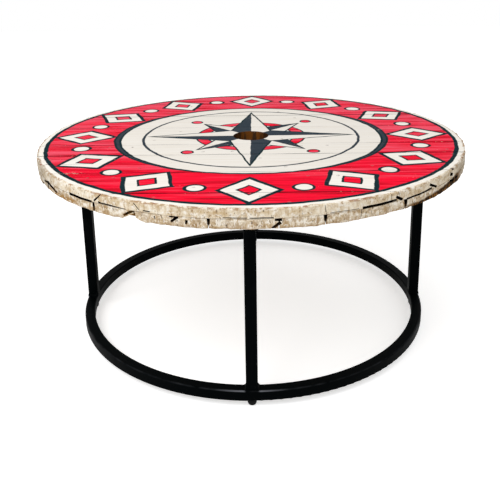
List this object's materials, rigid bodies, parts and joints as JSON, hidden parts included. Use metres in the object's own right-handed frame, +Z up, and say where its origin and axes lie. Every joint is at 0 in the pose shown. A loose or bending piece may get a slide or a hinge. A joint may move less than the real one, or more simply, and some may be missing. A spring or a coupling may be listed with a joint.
{
  "type": "coffee table",
  "caption": "Round coffee table: a cable reel flange of crossed, nailed boards with an arbor hole, on rolled rings and legs of welded square steel tube with domed feet.",
  "frame": {"origin": "on the floor under the centre of the arbor hole, at the bottom of the feet", "axes": "+Z up; X along the upper boards; -Y is the front"},
  "size_m": [0.914, 0.9139, 0.417],
  "materials": {
    "painted_boards": "satin",
    "bare_boards": "matte",
    "rusty_nails": "matte",
    "black_steel": "gloss",
    "glides": "matte",
    "zinc_screws": "satin"
  },
  "bodies": {
    "root": {"upper_board_1": "painted_boards", "upper_board_2": "painted_boards", "upper_board_3": "painted_boards", "upper_board_4": "painted_boards", "upper_board_5": "painted_boards", "upper_board_6": "painted_boards", "upper_board_7": "painted_boards", "upper_board_8": "painted_boards", "lower_board_1": "bare_boards", "lower_board_2": "bare_boards", "lower_board_3": "bare_boards", "lower_board_4": "bare_boards", "lower_board_5": "bare_boards", "lower_board_6": "bare_boards", "lower_board_7": "bare_boards", "lower_board_8": "bare_boards", "lower_board_9": "bare_boards", "clinched_nails": "rusty_nails", "floor_ring": "black_steel", "upper_ring": "black_steel", "leg_right": "black_steel", "leg_back": "black_steel", "leg_left": "black_steel", "leg_front": "black_steel", "mounting_tab_right": "black_steel", "mounting_tab_back": "black_steel", "mounting_tab_left": "black_steel", "mounting_tab_front": "black_steel", "foot_right": "glides", "foot_back": "glides", "foot_left": "glides", "foot_front": "glides", "tab_screws": "zinc_screws"}
  },
  "joints": []
}
